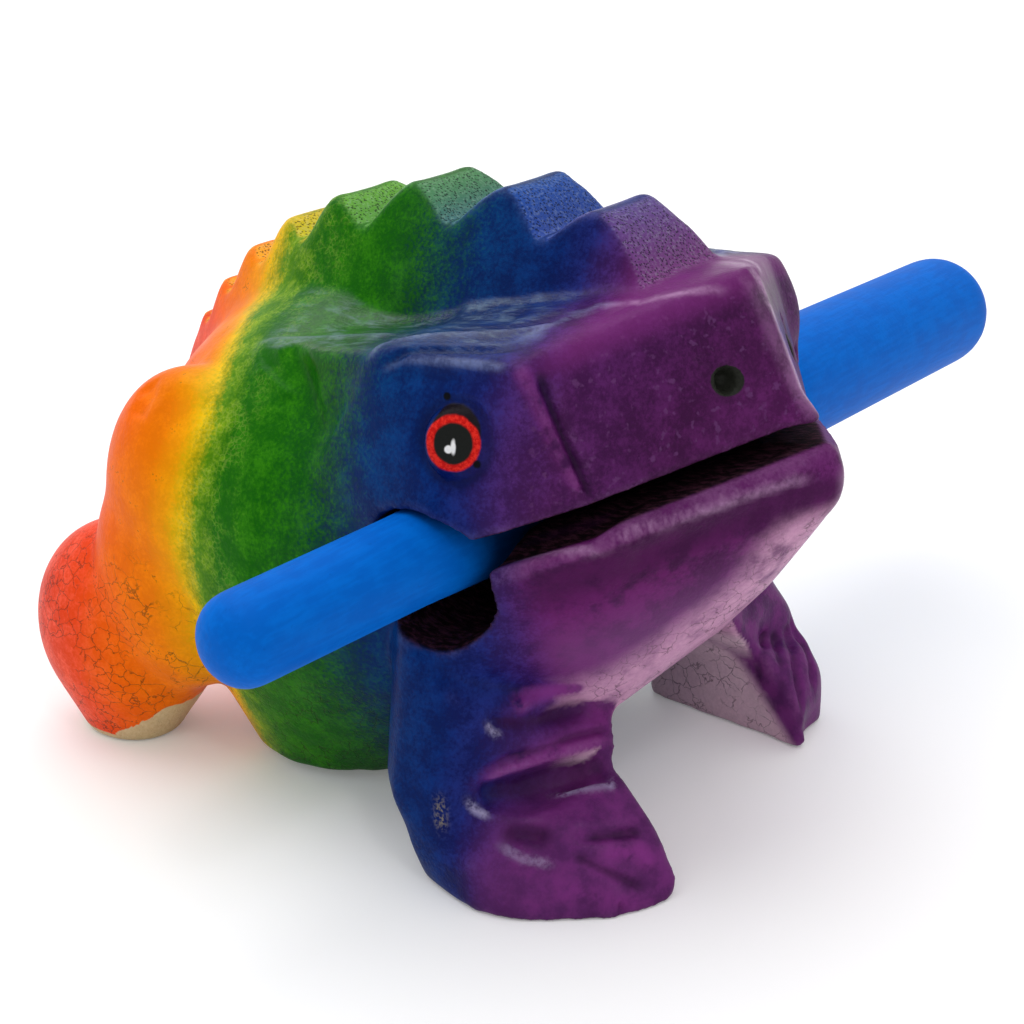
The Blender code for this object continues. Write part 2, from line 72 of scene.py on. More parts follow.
def finish_modifier(piece, kind, **settings):
    """Adds a modifier and applies it."""
    pick(piece)
    modifier = piece.modifiers.new(kind.lower(), kind)
    for name, value in settings.items():
        setattr(modifier, name, value)
    bpy.ops.object.modifier_apply(modifier=modifier.name)


def places(mesh):
    """The mesh's points in millimetres from the frog's middle, and its normals."""
    points = np.empty(len(mesh.vertices) * 3, np.float32)
    mesh.vertices.foreach_get("co", points)
    normals = np.empty(len(mesh.vertices) * 3, np.float32)
    mesh.vertex_normals.foreach_get("vector", normals)
    points = points.reshape(-1, 3).astype(float)
    return (points - np.array(frog_middle)) / millimetre, normals.reshape(-1, 3).astype(float)


def move(mesh, points):
    """Puts the mesh's points back, from millimetres."""
    rows = points * millimetre + np.array(frog_middle)
    mesh.vertices.foreach_set("co", rows.astype(np.float32).ravel())
    mesh.update()


def smooth_step(values, low, high):
    share = np.clip((values - low) / (high - low), 0.0, 1.0)
    return share * share * (3.0 - 2.0 * share)


def around(points, place, reach):
    """1 at a place, falling to 0 at its reach. The reach is one number, or one for each direction."""
    gap = np.linalg.norm((points - np.array(place)) / np.array(reach), axis=1)
    return 1.0 - smooth_step(gap, 0.0, 1.0)


def from_line(points, line):
    """How far each point is from a line through the given places, and the share of the line walked there."""
    line = np.array(line, float)
    nearest = np.full(len(points), 1e9)
    along = np.zeros(len(points))
    lengths = np.linalg.norm(np.diff(line, axis=0), axis=1)
    walked = np.concatenate(([0.0], np.cumsum(lengths)))
    for start, end, length, before in zip(line, line[1:], lengths, walked):
        share = np.clip((points - start) @ (end - start) / length ** 2, 0.0, 1.0)
        gap = np.linalg.norm(points - start - share[:, None] * (end - start), axis=1)
        closer = gap < nearest
        nearest[closer] = gap[closer]
        along[closer] = (before + share * length)[closer] / walked[-1]
    return nearest, along


def stroke(points, line, width, taper=0.12):
    """1 on a line, falling to 0 at its width and towards its ends."""
    gap, along = from_line(points, line)
    ends = np.minimum(smooth_step(along, -0.01, taper), smooth_step(1.0 - along, -0.01, taper))
    return (1.0 - smooth_step(gap / width, 0.0, 1.0)) * (0.1 + 0.9 * ends)


both = (1.0, -1.0)
as_given = (1.0,)


def on_sides(line, side):
    return [(x * side, y, z) for x, y, z in line]


def gouge(line, width, depth, sides=both, taper=0.12):
    """Cuts a line into the wood, on each side unless told otherwise. A negative depth raises it."""
    points, normals = places(frog.data)
    for side in sides:
        cut = stroke(points, on_sides(line, side), width, taper)
        points -= normals * (depth * cut)[:, None]
    move(frog.data, points)


def pare(place, direction, reach, sides=both):
    """Pares the wood flat with a knife: what stands out beyond a plane is pressed back to it."""
    points, _ = places(frog.data)
    for side in sides:
        spot = np.array(place) * (side, 1.0, 1.0)
        out = np.array(direction) * (side, 1.0, 1.0)
        out = out / np.linalg.norm(out)
        proud = np.clip((points - spot) @ out, 0.0, None)
        near = 1.0 - smooth_step(np.linalg.norm(points - spot, axis=1), 0.7 * reach, reach)
        points -= out * (proud * near)[:, None]
    move(frog.data, points)


def push(place, reach, by, sides=both):
    """Shifts the wood round a place."""
    points, _ = places(frog.data)
    for side in sides:
        share = around(points, np.array(place) * (side, 1.0, 1.0), reach)
        points += share[:, None] * (np.array(by) * (side, 1.0, 1.0))
    move(frog.data, points)


def sand(place, reach, passes, sides=both):
    """Sands the wood smooth round a place."""
    points, _ = places(frog.data)
    share = np.zeros(len(points))
    for side in sides:
        share = np.maximum(share, around(points, np.array(place) * (side, 1.0, 1.0), reach))
    patch = frog.vertex_groups.new(name="patch")
    for index in np.nonzero(share > 0.01)[0]:
        patch.add([int(index)], float(min(1.0, share[index] * 1.6)), "REPLACE")
    finish_modifier(frog, "SMOOTH", factor=0.5, iterations=passes, vertex_group="patch")
    frog.vertex_groups.remove(frog.vertex_groups["patch"])


on_all(frog, bpy.ops.mesh.remove_doubles, threshold=0.000001)

# Where the chisel left a crisp edge, so that the sanding stays off it
crisp_angle = math.radians(24.0)
crisp_points = []
blank = bmesh.new()
blank.from_mesh(frog.data)
for edge in blank.edges:
    if len(edge.link_faces) == 2 and edge.calc_face_angle() > crisp_angle:
        first, last = (vert.co for vert in edge.verts)
        steps = max(1, round((last - first).length / voxel))
        crisp_points += [first.lerp(last, step / steps) for step in range(steps + 1)]
blank.free()
crisp_edges = kdtree.KDTree(len(crisp_points))
for index, point in enumerate(crisp_points):
    crisp_edges.insert(point, index)
crisp_edges.balance()

finish_modifier(frog, "REMESH", mode="VOXEL", voxel_size=voxel)
sanded = frog.vertex_groups.new(name="sanded")
for vert in frog.data.vertices:
    away = crisp_edges.find(vert.co)[2] / millimetre
    sanded.add([vert.index], min(1.0, max(0.06, (away - 0.6) / 2.0)), "REPLACE")
finish_modifier(frog, "SMOOTH", factor=0.5, iterations=60, vertex_group="sanded")
finish_modifier(frog, "SMOOTH", factor=0.5, iterations=5)
frog.vertex_groups.clear()
sand((0.0, 14.0, 50.0), (20.0, 50.0, 45.0), 16)
sand((0.0, 0.0, -3.0), (200.0, 200.0, 5.5), 20)

# The thigh runs into the flank without a bump, and its top corner is cut square
sand((29.5, 19.0, 47.5), (9.0, 9.0, 11.0), 160)
pare((27.6, 13.5, 49.6), (0.80, -0.04, 0.60), 13.0)
sand((29.0, 18.0, 47.0), (9.0, 9.0, 11.0), 40)
gouge([(-26.9, 29.0, 50.6), (-28.6, 27.4, 50.0), (-30.4, 27.8, 47.4)], 2.6, 0.7)

# The mouth's floor swells behind a rounded lip, lower at its corners, and rises towards the bore
lip = [(-30.2, -26.0, 42.0), (-24.0, -35.8, 44.6), (-12.0, -43.4, 47.6), (0.0, -50.0, 50.2)]
floor_up = np.array((0.0, 0.375, 0.927))


def from_lip(points):
    return np.minimum(from_line(points, lip)[0], from_line(points, on_sides(lip, -1.0))[0])


points, normals = places(frog.data)
gap = from_lip(points)
above_slit = (points - slit_middle) @ floor_up
on_floor = smooth_step(above_slit, -3.2, -2.6) * smooth_step(-above_slit, 0.6, 1.2)
on_floor *= smooth_step(-points[:, 1], 22.0, 25.0)
on_floor *= smooth_step(normals @ floor_up, 0.2, 0.6)
lip_height = 0.9 + 1.0 * smooth_step(-points[:, 1], 33.0, 36.5)
rounded = np.sqrt(1.0 - (1.0 - np.clip(gap / 2.4, 0.0, 1.0)) ** 2)
swell = lip_height * rounded + (3.0 - lip_height) * smooth_step(gap, 2.4, 8.5)
points += floor_up * (swell * on_floor)[:, None]
move(frog.data, points)
sand((0.0, -50.6, 47.6), (7.0, 4.5, 5.0), 40)
sand((12.0, -43.0, 48.0), (16.0, 10.0, 3.5), 4)
gouge([(-24.6, -33.0, 43.4), (-22.8, -34.4, 43.8), (-21.2, -33.4, 43.6)], 1.1, 0.6)
gouge([(-22.0, -36.8, 41.6), (-13.6, -42.4, 43.8), (-7.6, -46.2, 45.4)], 2.8, 0.5)

# The snout's ridge and the brow's corner
push((0.0, -46.6, 53.6), 4.0, (0.0, -0.7, 0.0))
for place in ((0.0, -37.8, 69.2), (0.0, -40.4, 64.8), (0.0, -42.9, 60.1)):
    pare(place, (0.0, -0.895, 0.445), 5.5, as_given)
pare((-1.5, -37.7, 68.3), (-0.2, -0.7, 0.7), 7.0)
sand((0.0, -40.5, 63.0), (5.0, 5.0, 12.0), 6)
push((26.0, -28.6, 57.5), (5.0, 8.0, 12.0), (1.3, -1.9, 0.0), as_given)

# The brow's edge is a strip between two ridges, with a groove down its middle
for width, depth, taper, line in (
        (1.0, -0.35, 0.12, [(-28.6, -7.6, 60.6), (-26.2, -7.0, 61.6), (-23.8, -12.0, 63.2),
                            (-22.6, -17.0, 63.9), (-20.8, -21.6, 64.6), (-17.6, -25.8, 65.4)]),
        (1.0, 0.75, 0.2, [(-28.8, -9.6, 60.8), (-27.2, -12.0, 62.3), (-26.4, -16.0, 62.9),
                          (-25.6, -20.0, 63.3), (-24.4, -24.2, 63.9)]),
        (0.9, -0.3, 0.12, [(-29.3, -9.2, 59.9), (-28.8, -12.0, 61.4), (-28.2, -16.0, 61.9),
                           (-27.7, -21.0, 62.5), (-27.4, -25.4, 62.6)]),
        (1.2, 0.35, 0.2, [(-30.0, -8.4, 58.0), (-29.6, -11.0, 59.6), (-29.2, -14.4, 60.4),
                          (-28.8, -21.3, 60.8), (-28.4, -24.0, 60.8)])):
    gouge(line, width, depth, both, taper)

# A knife line down the outer edge of each snout facet, and the strip that it leaves
gouge([(-24.7, -25.3, 63.8), (-25.5, -28.2, 60.5), (-24.8, -30.1, 55.7), (-23.6, -32.9, 49.0)], 0.9, 0.9,
      taper=0.05)
gouge([(-27.2, -26.0, 63.0), (-26.6, -27.9, 59.0), (-25.7, -29.9, 54.2), (-24.5, -32.3, 49.3)], 1.1, -0.4)

# Nostrils, drilled, with a slip of the tool above each
gouge([(-8.3, -38.1, 58.7), (-5.6, -39.5, 58.5)], 1.9, 1.6, taper=0.4)
gouge([(-9.9, -37.0, 61.4), (-8.6, -37.8, 60.9), (-8.0, -38.0, 60.2)], 0.8, 0.4)

# Folds of skin across the right front leg
for width, depth, taper, line in (
        (1.7, 1.0, 0.12, [(-28.8, -22.5, 21.2), (-22.8, -24.9, 19.7), (-16.5, -28.7, 19.9)]),
        (1.6, -0.6, 0.12, [(-25.8, -24.0, 21.9), (-22.4, -25.4, 22.4), (-17.6, -28.6, 22.8)]),
        (2.9, 1.5, 0.06, [(-30.6, -22.8, 12.7), (-27.0, -24.6, 12.8), (-22.2, -28.2, 13.0),
                          (-17.8, -32.0, 13.8)]),
        (0.8, 0.7, 0.12, [(-30.4, -22.6, 15.1), (-27.3, -24.6, 16.5), (-20.2, -28.5, 17.3),
                          (-15.4, -30.7, 17.0)]),
        (1.2, -0.5, 0.12, [(-30.5, -22.5, 13.9), (-27.6, -24.7, 15.3), (-22.2, -28.3, 16.2),
                           (-16.2, -30.8, 16.0)]),
        (0.9, -0.4, 0.12, [(-23.7, -27.9, 10.8), (-21.7, -30.9, 11.6), (-19.2, -33.2, 11.7)]),
        (0.9, -0.35, 0.12, [(-31.8, -22.0, 12.7), (-31.5, -23.0, 11.4), (-30.9, -24.6, 10.8)]),
        (1.7, 0.9, 0.12, [(-30.6, -27.2, 9.4), (-28.6, -30.4, 9.2)]),
        (0.9, -0.4, 0.12, [(-31.8, -26.5, 8.2), (-30.9, -29.1, 7.0), (-29.3, -32.0, 6.5)]),
        (0.9, -0.45, 0.12, [(-26.9, -31.7, 8.7), (-25.0, -32.7, 9.5), (-22.5, -34.6, 9.3)]),
        (1.2, 1.1, 0.12, [(-26.2, -33.0, 8.4), (-24.4, -35.1, 8.7), (-19.6, -37.8, 7.9)]),
        (1.0, 0.9, 0.12, [(-27.5, -33.5, 7.4), (-24.7, -37.7, 4.5), (-22.1, -39.7, 2.3)]),
        (0.8, 0.7, 0.12, [(-25.3, -38.9, 1.8), (-25.3, -38.9, 0.4)])):
    gouge(line, width, depth, as_given, taper)

# The left front leg is fuller at the ankle, with folds that fan out over its toes
push((28.0, -31.0, 9.0), (12.0, 11.0, 17.0), (1.9, -2.7, 0.0), as_given)
push((31.0, -25.0, 18.0), (9.0, 9.0, 11.0), (1.1, -1.5, 0.2), as_given)
push((30.5, -28.5, 12.0), (8.0, 8.0, 6.5), (2.1, -2.9, 0.0), as_given)
push((23.4, -38.8, 0.5), (6.0, 5.0, 5.0), (-0.8, 1.7, 0.3), as_given)
push((28.4, -29.6, 11.8), (6.5, 6.5, 4.5), (1.2, -2.0, 0.0), as_given)
sand((29.5, -31.0, 14.5), (11.0, 11.0, 13.0), 120, as_given)
sand((25.0, -38.5, 1.5), (7.0, 7.0, 6.0), 30, as_given)
left_folds = [[(25.8, -29.0, 12.7), (19.9, -31.3, 11.9), (19.6, -31.7, 7.5)],
              [(27.4, -29.4, 12.1), (21.8, -33.1, 10.9), (19.5, -35.1, 7.9)],
              [(30.1, -29.9, 12.5), (23.6, -34.8, 9.7), (21.1, -37.0, 6.4), (19.7, -37.9, 3.9)],
              [(30.7, -30.2, 13.2), (29.1, -33.1, 10.2), (26.1, -36.2, 7.8), (24.7, -37.1, 5.9)]]
points, normals = places(frog.data)
cut = np.max([stroke(points, line, 1.0, 0.2) for line in left_folds], axis=0)
points -= normals * (0.7 * cut)[:, None]
move(frog.data, points)

# A shallow trough between the brow and the crest, and the shoulder's pointed corner behind it
gouge([(-17.5, -21.0, 64.6), (-16.0, -10.0, 63.0), (-14.6, 2.0, 61.0), (-14.0, 10.0, 59.6)], 4.0, 0.5)
gouge([(-20.3, -5.0, 61.2), (-19.9, 5.8, 58.8), (-20.0, 17.0, 56.1)], 1.0, -0.35)
gouge([(-26.5, 0.3, 54.1), (-25.1, 8.5, 53.0), (-23.1, 13.8, 54.2), (-20.4, 17.4, 55.7)], 1.0, -0.3)


def from_eye(points, side):
    """How far each place is across the eye, up it and out of it, in millimetres from its middle."""
    out = np.array(eye_facing) * (side, 1.0, 1.0)
    out /= np.linalg.norm(out)
    across = np.cross((0.0, 0.0, 1.0), out)
    across /= np.linalg.norm(across)
    offset = points - np.array(eye_middle) * (side, 1.0, 1.0)
    return offset @ across, offset @ np.cross(out, across), offset @ out


# Each eye is a low dome in a pressed ring
points, normals = places(frog.data)
for side in both:
    across, up, out = from_eye(points, side)
    ring = np.hypot(across, up / 1.08)
    near = (ring < 6.0) & (np.abs(out) < 4.0)
    raised = 0.35 * (1.0 - smooth_step(ring, 2.4, 3.7)) - 0.6 * np.exp(-((ring - 4.1) / 0.5) ** 2)
    points[near] += normals[near] * raised[near][:, None]
move(frog.data, points)
finish_modifier(frog, "SMOOTH", factor=0.35, iterations=1)
finish_modifier(frog, "DECIMATE", ratio=0.5)
bpy.ops.object.shade_smooth()

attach(frog, "root")
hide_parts("frog_body")


def mask(name, values):
    """Keeps a value for each point of the frog, for the paint to read."""
    layer = frog.data.attributes.new(name, "FLOAT", "POINT")
    layer.data.foreach_set("value", np.clip(values, 0.0, 1.0).astype(np.float32))


def strokes(lines, width, sides=both, taper=0.12):
    """The strongest of several strokes at each point of the frog."""
    total = np.zeros(len(points))
    for line in lines:
        for side in sides:
            total = np.maximum(total, stroke(points, on_sides(line, side), width, taper))
    return total


def bends(passes):
    """How far each point stands out of its neighbours along its normal, over a few rings of points."""
    ends = np.empty(len(frog.data.edges) * 2, np.int32)
    frog.data.edges.foreach_get("vertices", ends)
    first, last = ends.reshape(-1, 2).T
    count = np.bincount(first, minlength=len(points)) + np.bincount(last, minlength=len(points))

    def ring_mean(values):
        total = np.bincount(first, values[last], len(points))
        total += np.bincount(last, values[first], len(points))
        return total / np.maximum(count, 1)

    even = points.copy()
    for turn in range(passes):
        even = np.stack([ring_mean(even[:, axis]) for axis in range(3)], axis=1)
    bend = np.sum((points - even) * normals, axis=1)
    for turn in range(2):
        bend = 0.5 * bend + 0.5 * ring_mean(bend)
    return bend


points, normals = places(frog.data)
x, y, z = points.T
half = np.abs(x)
out_x = normals[:, 0] * np.sign(x)
bend = bends(8)
# Convex edges, for a little pale paint as wear and painted highlight; hollows, for painted shade
mask("worn_and_lit_edge", smooth_step(bend, 0.10, 0.40))
mask("hollow_shade", smooth_step(-bend, 0.06, 0.30))

# Thin lilac spray under the jaw's keel and inside the front feet
keel = [(0.0, -50.6, 44.0), (0.0, -43.5, 32.6), (-6.0, -36.0, 25.0), (-13.5, -29.6, 18.5)]
keel_gap = np.minimum(from_line(points, keel)[0], from_line(points, on_sides(keel, -1.0))[0])
thin_paint = (1.0 - smooth_step(keel_gap, 4.5, 11.0)) * smooth_step(-normals[:, 2], 0.15, 0.4)
thin_paint *= smooth_step(47.0 - z, 0.0, 6.0)
inner_foot = smooth_step(-out_x, 0.35, 0.8) * smooth_step(-y, 10.0, 14.0) * smooth_step(16.0 - z, 0.0, 5.0)
inner_foot *= smooth_step(y + 28.0 + 0.8 * (11.3 - z), -1.5, 1.5)
mask("thin_paint", np.maximum(thin_paint, inner_foot))
crackled = np.maximum(smooth_step(y, 16.0, 24.0) * smooth_step(34.0 - z, 0.0, 10.0),
                      smooth_step(24.0 - z, 0.0, 10.0) * smooth_step(y, -9.0, 0.0))
mask("crackled", np.maximum(crackled, np.maximum(thin_paint, inner_foot)))

# Open end grain on the front slope of each tooth
crest_top = 25.4 + 50.5 * np.sqrt(np.clip(1.0 - ((y + 8.0) / 62.0) ** 2, 0.0, 1.0))
on_crest = smooth_step(z - crest_top + 6.5, 0.0, 1.5) * smooth_step(13.0 - half, 0.0, 2.0)
on_crest *= smooth_step(y, -31.0, -29.0)
slope = smooth_step(normals[:, 2] + 0.6 * np.abs(normals[:, 1]) - out_x, 0.2, 0.7)
mask("end_grain", on_crest * slope * smooth_step(np.abs(normals[:, 1]), 0.05, 0.3))
mask("crest", smooth_step(z - crest_top + 16.0, 0.0, 6.0) * smooth_step(17.0 - half, 0.0, 5.0))
in_trough = smooth_step(normals[:, 2], 0.55, 0.85) * smooth_step(z, 54.0, 58.0)
in_trough *= smooth_step(half, 8.5, 11.0) * smooth_step(28.0 - half, 0.0, 4.0)
mask("trough", in_trough * smooth_step(y, -26.0, -20.0) * smooth_step(20.0 - y, 0.0, 8.0))

# Where the saw and the drill cut in, darkened in the paint as painted shade
bore_gap = np.hypot(y + 17.4 + 0.046 * x, z - 38.95 - 0.035 * x)
inside_bore = smooth_step(9.0 - bore_gap, 0.0, 0.5) * smooth_step(31.5 - half, 0.0, 1.2)
above_slit = (points - slit_middle) @ floor_up
inside_mouth = smooth_step(3.0 - np.abs(above_slit), 0.0, 0.5) * smooth_step(-y, 15.0, 18.0)
inside_mouth *= smooth_step(np.abs(normals @ floor_up), 0.80, 0.92)
inside_mouth *= np.where(above_slit < 0.8, smooth_step(from_lip(points), 1.4, 2.4), 1.0)
mask("inside", np.maximum(inside_bore, inside_mouth))

# Lines of painted light and shade: painted highlights on pale rims (partly real wear) and glints, painted
# shade in the cuts and on the groove floors, and painted highlights on lighter magenta strips
pale_lines = strokes([[(-23.6, -35.2, 44.3), (-21.0, -36.7, 45.3), (-18.3, -38.8, 45.8),
                       (-13.2, -42.2, 46.6), (-9.9, -44.2, 47.4), (-6.3, -46.7, 48.0), (-3.6, -48.3, 48.2)],
                      [(-27.7, -25.3, 41.4), (-26.1, -29.9, 42.9), (-25.2, -32.7, 43.6),
                       (-24.3, -34.5, 43.3)],
                      [(-23.9, -22.0, 63.8), (-17.7, -24.7, 65.3), (-12.7, -26.7, 66.3),
                       (-11.2, -30.7, 66.8), (-7.6, -34.1, 67.6), (-5.4, -36.0, 67.8), (-3.8, -37.2, 67.5)],
                      [(-20.3, -5.0, 61.5), (-19.9, 5.8, 59.2), (-19.8, 17.2, 56.4)],
                      [(-28.6, -7.8, 60.8), (-26.2, -7.0, 61.9), (-23.8, -12.0, 63.4), (-22.4, -18.0, 64.2),
                       (-19.0, -24.6, 65.4)],
                      [(-29.3, -9.2, 60.2), (-28.7, -12.0, 61.7), (-28.1, -17.0, 62.3),
                       (-27.5, -24.8, 62.8)]], 0.9, taper=0.08)
ridge = np.maximum(stroke(points, [(1.1, -37.6, 69.2), (1.0, -41.4, 61.4), (0.6, -46.4, 53.4)], 1.5, 0.03),
                   0.35 * stroke(points, [(-1.0, -37.2, 68.6), (-0.6, -41.4, 61.4), (-0.2, -46.0, 53.8)],
                                 1.5, 0.03))
ridge = np.maximum(ridge, 0.5 * stroke(points, [(0.4, -37.4, 69.0), (4.0, -34.0, 68.6), (6.0, -30.5, 68.2)],
                                       2.0, 0.2))
ridge = np.maximum(ridge, 0.6 * stroke(points, [(0.6, -50.6, 49.0), (0.8, -50.8, 46.0), (0.4, -50.0, 42.5)],
                                       2.2, 0.2))
mask("highlight_line", np.maximum(0.65 * pale_lines, ridge))
glints = strokes([[(-28.6, -22.6, 21.0), (-28.2, -23.2, 20.0), (-27.7, -23.7, 19.2)],
                  [(-23.7, -27.9, 11.0), (-21.7, -30.9, 11.9), (-19.2, -33.2, 12.0), (-17.9, -32.8, 12.9)],
                  [(-31.8, -22.0, 12.7), (-31.5, -23.0, 11.4), (-30.9, -24.6, 10.8)],
                  [(-26.9, -31.7, 8.7), (-25.0, -32.7, 9.5), (-22.5, -34.6, 9.2)],
                  [(-31.8, -26.5, 8.2), (-30.9, -29.1, 7.0), (-29.3, -32.0, 6.5)]], 0.8, as_given, 0.2)
mask("glint", glints)
dark_lines = strokes([[(-25.3, -27.4, 62.4), (-24.6, -28.4, 57.9), (-24.0, -29.9, 53.9),
                       (-23.4, -32.6, 48.9)],
                      [(-28.8, -9.8, 60.6), (-27.2, -12.0, 62.2), (-25.6, -20.0, 63.2),
                       (-24.6, -24.0, 63.7)]], 0.8, taper=0.05)
toe_cuts = [[(-27.4, -33.7, 7.2), (-24.7, -37.7, 4.5), (-22.1, -39.7, 2.3)],
            [(-26.2, -33.0, 8.2), (-24.4, -35.1, 8.4), (-19.8, -37.7, 7.6)],
            [(-30.4, -22.6, 15.1), (-27.3, -24.6, 16.5), (-20.2, -28.5, 17.3), (-15.6, -30.7, 17.0)]]
dark_lines = np.maximum(dark_lines, strokes(toe_cuts, 0.8, as_given, 0.1))
mask("cut_shade", np.maximum(dark_lines, strokes(left_folds, 0.9, as_given, 0.1)))
# Painted shade on the floors of the leg's grooves
mask("groove_floor_shade", strokes([[(-28.6, -22.7, 20.8), (-22.8, -24.9, 19.6), (-17.0, -28.5, 19.7)],
                            [(-30.4, -23.0, 12.7), (-27.0, -24.8, 12.8), (-22.2, -28.2, 13.1),
                             (-17.9, -32.0, 13.8)],
                            [(-31.4, -25.6, 9.4), (-30.4, -27.4, 9.4), (-28.6, -30.4, 9.2),
                             (-27.6, -31.6, 8.8)]], 2.1, as_given, 0.25))
# Painted highlights: lighter magenta strips on the raised ridges of the leg and beside the snout's knife line
lit_ridges = strokes([[(-25.8, -24.0, 21.9), (-23.2, -24.8, 22.8), (-18.4, -28.4, 23.4)],
                  [(-30.5, -22.5, 14.2), (-27.6, -24.7, 15.6), (-22.2, -28.3, 16.5), (-16.0, -30.8, 16.4)],
                  [(-25.4, -35.8, 7.6), (-21.3, -38.5, 6.3), (-20.4, -40.0, 3.9)],
                  [(-30.0, -31.4, 4.0), (-25.6, -37.6, 2.0), (-22.4, -40.2, 0.6)]], 1.9, as_given, 0.15)
snout_strip = [(-27.0, -26.0, 63.0), (-26.3, -27.9, 59.0), (-25.4, -29.9, 54.2), (-24.4, -32.3, 49.3)]
lit_ridges = np.maximum(lit_ridges, 0.7 * strokes([snout_strip], 1.5, taper=0.05))
mask("lit_ridges", lit_ridges)
nostrils = np.full(len(points), 9.0)
for side in both:
    offset = points - (side * 6.9, -38.8, 58.6)
    away = np.hypot(offset @ (side * 0.89, 0.45, 0.0) / 2.4, offset[:, 2] / 1.75)
    nostrils = np.minimum(nostrils, away + 0.3 * np.abs(offset @ (side * 0.42, -0.82, 0.38)))
mask("nostril", 1.0 - smooth_step(nostrils, 0.9, 1.3))
sole_height = 2.0 + 4.6 * smooth_step(31.5 - half, 0.0, 3.5)
mask("bare_sole", smooth_step(sole_height - z, -1.0, 1.0) * smooth_step(y, 24.0, 27.0)
     * smooth_step(-normals[:, 1], 0.1, 0.4))
heel_scuff = [(-33.4, -19.5, 13.0), (-33.8, -19.8, 10.8), (-34.1, -20.0, 8.8)]
mask("chipped", strokes([heel_scuff], 1.3, as_given, 0.3))


# The paint: rainbow bands sprayed from nose to rump under a lacquer that has crackled and worn at the edges.
# Bands follow the frog's length, blurred by the spray; the eyes are brushed on. Highlights on rims and
# ridges, and shade in cuts, hollows and under the lip, are painted in too.
def colour(red, green, blue):
    """A colour as it looks on screen, from 0 to 255, in the shader's linear values."""
    parts = [part / 255.0 for part in (red, green, blue)]
    return tuple(p / 12.92 if p <= 0.04045 else ((p + 0.055) / 1.055) ** 2.4 for p in parts) + (1.0,)


class Shader:
    """A material's node tree, with short calls for the nodes that paint needs."""

    def __init__(self, tree):
        self.tree = tree

    def node(self, kind, **settings):
        item = self.tree.nodes.new(kind)
        for name, value in settings.items():
            setattr(item, name, value)
        return item

    def join(self, source, socket):
        if isinstance(source, (int, float, tuple)):
            socket.default_value = source
        else:
            self.tree.links.new(source, socket)

    def math(self, operation, *sources, clamp=False):
        item = self.node("ShaderNodeMath", operation=operation, use_clamp=clamp)
        for source, socket in zip(sources, item.inputs):
            self.join(source, socket)
        return item.outputs[0]

    def times(self, first, *others):
        for other in others:
            first = self.math("MULTIPLY", first, other)
        return first

    def step(self, value, low, high):
        item = self.node("ShaderNodeMapRange", interpolation_type="SMOOTHSTEP")
        self.join(value, item.inputs["Value"])
        self.join(low, item.inputs["From Min"])
        self.join(high, item.inputs["From Max"])
        return item.outputs["Result"]

    def fade(self, value, low, high):
        """1 below the low value, falling to 0 at the high one."""
        return self.math("SUBTRACT", 1.0, self.step(value, low, high))

    def mix(self, share, first, second):
        item = self.node("ShaderNodeMix", data_type="RGBA")
        self.join(share, item.inputs["Factor"])
        self.join(first, item.inputs[6])
        self.join(second, item.inputs[7])
        return item.outputs[2]

    def noise(self, place, scale, detail=2.0, roughness=0.5):
        item = self.node("ShaderNodeTexNoise")
        self.join(place, item.inputs["Vector"])
        item.inputs["Scale"].default_value = scale
        item.inputs["Detail"].default_value = detail
        item.inputs["Roughness"].default_value = roughness
        return item.outputs["Fac"]

    def vector(self, operation, *sources):
        item = self.node("ShaderNodeVectorMath", operation=operation)
        for source, socket in zip(sources, item.inputs):
            self.join(source, socket)
        return item.outputs["Value"] if operation == "DOT_PRODUCT" else item.outputs[0]

    def seen(self):
        """1 for rays from the camera, off a glossy surface or through a clear one."""
        rays = self.node("ShaderNodeLightPath").outputs
        indirect = self.math("MAXIMUM", rays["Is Glossy Ray"], rays["Is Transmission Ray"])
        return self.math("MAXIMUM", rays["Is Camera Ray"], indirect)

    def mask(self, name):
        return self.node("ShaderNodeAttribute", attribute_name=name).outputs["Fac"]

    def ramp(self, value, stops):
        item = self.node("ShaderNodeValToRGB")
        self.join(value, item.inputs["Fac"])
        elements = item.color_ramp.elements
        while len(elements) < len(stops):
            elements.new(0.5)
        for element, (position, shade) in zip(elements, stops):
            element.position = position
            element.color = shade
        return item.outputs["Color"]

    def cracks(self, place, scale, wander, width):
        """1 on a net of thin, wandering cracks."""
        drift = self.node("ShaderNodeTexNoise")
        self.join(place, drift.inputs["Vector"])
        drift.inputs["Scale"].default_value = 0.9
        drift.inputs["Detail"].default_value = 3.0
        cells = self.node("ShaderNodeTexVoronoi", feature="DISTANCE_TO_EDGE")
        self.join(self.vector("MULTIPLY_ADD", drift.outputs["Color"], (wander,) * 3, place),
                  cells.inputs["Vector"])
        cells.inputs["Scale"].default_value = scale
        return self.fade(cells.outputs["Distance"], 0.0, width)

    def bump(self, height, strength, distance, surface):
        item = self.node("ShaderNodeBump")
        item.inputs["Strength"].default_value = strength
        item.inputs["Distance"].default_value = distance
        self.join(height, item.inputs["Height"])
        self.join(item.outputs["Normal"], surface.inputs["Normal"])
        return item.outputs["Normal"]


def new_paint(name):
    material = bpy.data.materials.new(name)
    material.use_nodes = True
    return material, Shader(material.node_tree), material.node_tree.nodes["Principled BSDF"]


